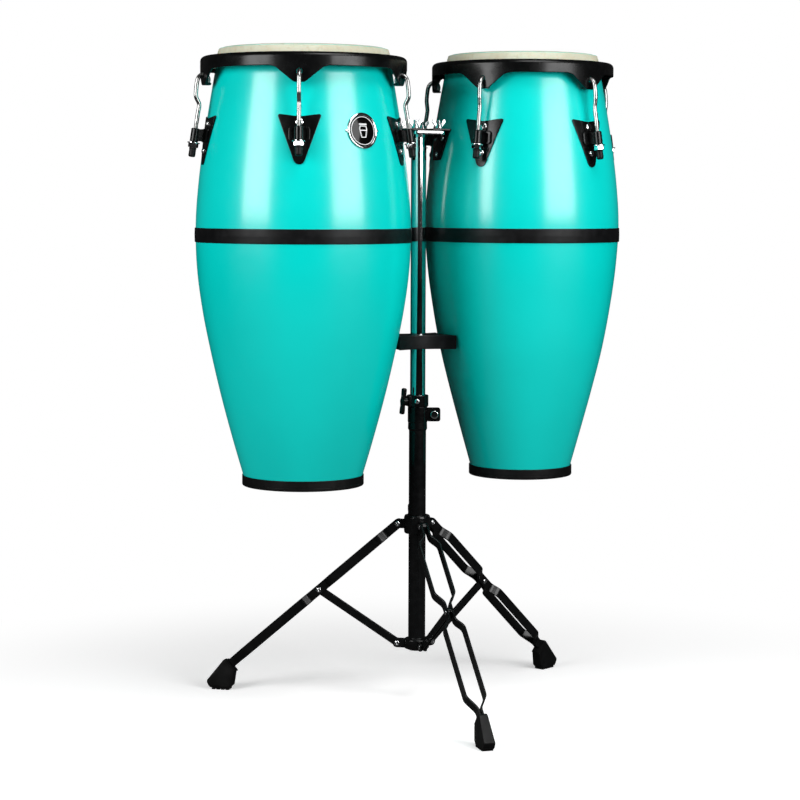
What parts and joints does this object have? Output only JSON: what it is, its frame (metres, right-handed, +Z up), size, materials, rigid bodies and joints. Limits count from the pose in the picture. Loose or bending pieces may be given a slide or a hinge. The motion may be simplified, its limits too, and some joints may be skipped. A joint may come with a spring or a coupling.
{
  "type": "conga drums on a double stand",
  "caption": "Pair of tall conga drums in teal lacquer with black rims and hook tuners, hung on a double-braced folding tripod stand.",
  "frame": {"origin": "on the floor, in the middle of the whole instrument's footprint", "axes": "+Z up, +X from the large drum to the small drum, +Y to the back, away from the player"},
  "size_m": [0.7668, 0.585, 1.084],
  "materials": {
    "lacquered_shell": "satin gloss teal lacquer over wood",
    "hide": "natural cream drum skin, matt and slightly mottled",
    "black_hardware": "satin black powder coat on steel",
    "black_enamel": "semi-gloss black powder coat on steel",
    "black_plastic": "moulded black plastic",
    "rubber": "moulded black rubber",
    "chrome": "bright chrome plate",
    "zinc": "bright zinc plate"
  },
  "bodies": {
    "stand_base": {"base_tube": "black_enamel"},
    "memory_clamp": {"memory_collar": "black_enamel"},
    "memory_handle": {"memory_screw": "black_enamel"},
    "mast_and_drums": {"mast": "chrome", "cradle": "black_plastic", "large_shell": "lacquered_shell", "large_base_ring": "rubber", "large_head": "hide", "large_rim": "black_hardware", "large_mount_bracket": "black_hardware", "large_side_plate_1": "black_hardware", "large_hook_1": "chrome", "large_side_plate_2": "black_hardware", "large_hook_2": "chrome", "large_side_plate_3": "black_hardware", "large_hook_3": "chrome", "large_side_plate_4": "black_hardware", "large_hook_4": "chrome", "large_side_plate_5": "black_hardware", "large_hook_5": "chrome", "small_shell": "lacquered_shell", "small_base_ring": "rubber", "small_head": "hide", "small_rim": "black_hardware", "small_mount_bracket": "black_hardware", "small_side_plate_1": "black_hardware", "small_hook_1": "chrome", "small_side_plate_2": "black_hardware", "small_hook_2": "chrome", "small_side_plate_3": "black_hardware", "small_hook_3": "chrome", "small_side_plate_4": "black_hardware", "small_hook_4": "chrome", "small_side_plate_5": "black_hardware", "small_hook_5": "chrome"},
    "fold_collar": {"leg_collar": "black_enamel"},
    "collar_handle": {"leg_collar_screw": "black_enamel"},
    "front_leg_assembly": {"front_leg": "black_enamel", "front_foot": "rubber"},
    "front_brace": {"front_strut": "black_enamel"},
    "left_leg_assembly": {"left_leg": "black_enamel", "left_foot": "rubber"},
    "left_brace": {"left_strut": "black_enamel"},
    "right_leg_assembly": {"right_leg": "black_enamel", "right_foot": "rubber"},
    "right_brace": {"right_strut": "black_enamel"},
    "large_tuning_nut_1_turning": {"large_tuning_nut_1": "chrome"},
    "large_tuning_nut_2_turning": {"large_tuning_nut_2": "chrome"},
    "large_tuning_nut_3_turning": {"large_tuning_nut_3": "chrome"},
    "large_tuning_nut_4_turning": {"large_tuning_nut_4": "chrome"},
    "large_tuning_nut_5_turning": {"large_tuning_nut_5": "chrome"},
    "small_tuning_nut_1_turning": {"small_tuning_nut_1": "chrome"},
    "small_tuning_nut_2_turning": {"small_tuning_nut_2": "chrome"},
    "small_tuning_nut_3_turning": {"small_tuning_nut_3": "chrome"},
    "small_tuning_nut_4_turning": {"small_tuning_nut_4": "chrome"},
    "small_tuning_nut_5_turning": {"small_tuning_nut_5": "chrome"},
    "large_front_wing_nut_turning": {"large_front_wing_nut": "zinc"},
    "large_back_wing_nut_turning": {"large_back_wing_nut": "zinc"},
    "small_front_wing_nut_turning": {"small_front_wing_nut": "zinc"},
    "small_back_wing_nut_turning": {"small_back_wing_nut": "zinc"}
  },
  "joints": [
    {"name": "height_adjust", "type": "slide", "parent": "stand_base", "child": "memory_clamp", "axis": [0, 0, 1], "range_m": [0, 0.15]},
    {"name": "mast_swivel", "type": "hinge", "parent": "memory_clamp", "child": "mast_and_drums", "pos_m": [0.0116, 0.074, 0.494], "axis": [0, 0, 1], "continuous": true},
    {"name": "memory_handle_turn", "type": "hinge", "parent": "memory_clamp", "child": "memory_handle", "pos_m": [-0.00914, 0.07072, 0.50395], "axis": [-0.9877, -0.1564, 0], "continuous": true},
    {"name": "tripod_fold", "type": "slide", "parent": "stand_base", "child": "fold_collar", "axis": [0, 0, 1], "range_m": [0, 0.13]},
    {"name": "collar_handle_turn", "type": "hinge", "parent": "fold_collar", "child": "collar_handle", "pos_m": [0.01422, 0.10389, 0.303], "axis": [0.0872, 0.9962, 0], "continuous": true},
    {"name": "front_leg_hinge", "type": "hinge", "parent": "fold_collar", "child": "front_leg_assembly", "pos_m": [0.00877, 0.04162, 0.2965], "axis": [0.9962, -0.0872, 0], "range_deg": [0, 37.2]},
    {"name": "front_brace_hinge", "type": "hinge", "parent": "stand_base", "child": "front_brace", "pos_m": [0.00872, 0.04113, 0.095], "axis": [0.9962, -0.0872, 0], "range_deg": [-44.9, 0]},
    {"name": "left_leg_hinge", "type": "hinge", "parent": "fold_collar", "child": "left_leg_assembly", "pos_m": [-0.01502, 0.09264, 0.2965], "axis": [-0.5736, -0.8192, 0], "range_deg": [0, 37.2]},
    {"name": "left_brace_hinge", "type": "hinge", "parent": "stand_base", "child": "left_brace", "pos_m": [-0.01543, 0.09293, 0.095], "axis": [-0.5736, -0.8192, 0], "range_deg": [-44.9, 0]},
    {"name": "right_leg_hinge", "type": "hinge", "parent": "fold_collar", "child": "right_leg_assembly", "pos_m": [0.04106, 0.08773, 0.2965], "axis": [-0.4226, 0.9063, 0], "range_deg": [0, 37.2]},
    {"name": "right_brace_hinge", "type": "hinge", "parent": "stand_base", "child": "right_brace", "pos_m": [0.04151, 0.08795, 0.095], "axis": [-0.4226, 0.9063, 0], "range_deg": [-44.9, 0]},
    {"name": "large_tuning_nut_1_turn", "type": "hinge", "parent": "mast_and_drums", "child": "large_tuning_nut_1_turning", "pos_m": [-0.03615, 0.17026, 0.9296], "axis": [-0.1259, -0.0781, 0.989], "continuous": true},
    {"name": "large_tuning_nut_2_turn", "type": "hinge", "parent": "mast_and_drums", "child": "large_tuning_nut_2_turning", "pos_m": [-0.23497, 0.2514, 0.9296], "axis": [0.0353, -0.1439, 0.989], "continuous": true},
    {"name": "large_tuning_nut_3_turn", "type": "hinge", "parent": "mast_and_drums", "child": "large_tuning_nut_3_turning", "pos_m": [-0.37358, 0.08738, 0.9296], "axis": [0.1478, -0.0109, 0.989], "continuous": true},
    {"name": "large_tuning_nut_4_turn", "type": "hinge", "parent": "mast_and_drums", "child": "large_tuning_nut_4_turning", "pos_m": [-0.26042, -0.09513, 0.9296], "axis": [0.056, 0.1372, 0.989], "continuous": true},
    {"name": "large_tuning_nut_5_turn", "type": "hinge", "parent": "mast_and_drums", "child": "large_tuning_nut_5_turning", "pos_m": [-0.05188, -0.04391, 0.9296], "axis": [-0.1132, 0.0956, 0.989], "continuous": true},
    {"name": "small_tuning_nut_1_turn", "type": "hinge", "parent": "mast_and_drums", "child": "small_tuning_nut_1_turning", "pos_m": [0.06831, -0.0351, 0.9296], "axis": [0.1166, 0.0954, 0.9886], "continuous": true},
    {"name": "small_tuning_nut_2_turn", "type": "hinge", "parent": "mast_and_drums", "child": "small_tuning_nut_2_turning", "pos_m": [0.26417, -0.08649, 0.9296], "axis": [-0.0547, 0.1404, 0.9886], "continuous": true},
    {"name": "small_tuning_nut_3_turn", "type": "hinge", "parent": "mast_and_drums", "child": "small_tuning_nut_3_turning", "pos_m": [0.37357, 0.08392, 0.9296], "axis": [-0.1504, -0.0087, 0.9886], "continuous": true},
    {"name": "small_tuning_nut_4_turn", "type": "hinge", "parent": "mast_and_drums", "child": "small_tuning_nut_4_turning", "pos_m": [0.24531, 0.24061, 0.9296], "axis": [-0.0382, -0.1458, 0.9886], "continuous": true},
    {"name": "small_tuning_nut_5_turn", "type": "hinge", "parent": "mast_and_drums", "child": "small_tuning_nut_5_turning", "pos_m": [0.05665, 0.16706, 0.9296], "axis": [0.1268, -0.0814, 0.9886], "continuous": true},
    {"name": "large_front_wing_nut_turn", "type": "hinge", "parent": "mast_and_drums", "child": "large_front_wing_nut_turning", "pos_m": [-0.0094, 0.039, 0.9564], "axis": [0, 0, 1], "continuous": true},
    {"name": "large_back_wing_nut_turn", "type": "hinge", "parent": "mast_and_drums", "child": "large_back_wing_nut_turning", "pos_m": [-0.0094, 0.109, 0.9564], "axis": [0, 0, 1], "continuous": true},
    {"name": "small_front_wing_nut_turn", "type": "hinge", "parent": "mast_and_drums", "child": "small_front_wing_nut_turning", "pos_m": [0.0326, 0.039, 0.9564], "axis": [0, 0, 1], "continuous": true},
    {"name": "small_back_wing_nut_turn", "type": "hinge", "parent": "mast_and_drums", "child": "small_back_wing_nut_turning", "pos_m": [0.0326, 0.109, 0.9564], "axis": [0, 0, 1], "continuous": true}
  ],
  "couplings": [
    {"joint": "front_leg_hinge", "follows": "tripod_fold", "rad_per_m": 4.9862},
    {"joint": "front_brace_hinge", "follows": "tripod_fold", "rad_per_m": -6.0117},
    {"joint": "left_leg_hinge", "follows": "tripod_fold", "rad_per_m": 4.9862},
    {"joint": "left_brace_hinge", "follows": "tripod_fold", "rad_per_m": -6.0117},
    {"joint": "right_leg_hinge", "follows": "tripod_fold", "rad_per_m": 4.9862},
    {"joint": "right_brace_hinge", "follows": "tripod_fold", "rad_per_m": -6.0117}
  ]
}
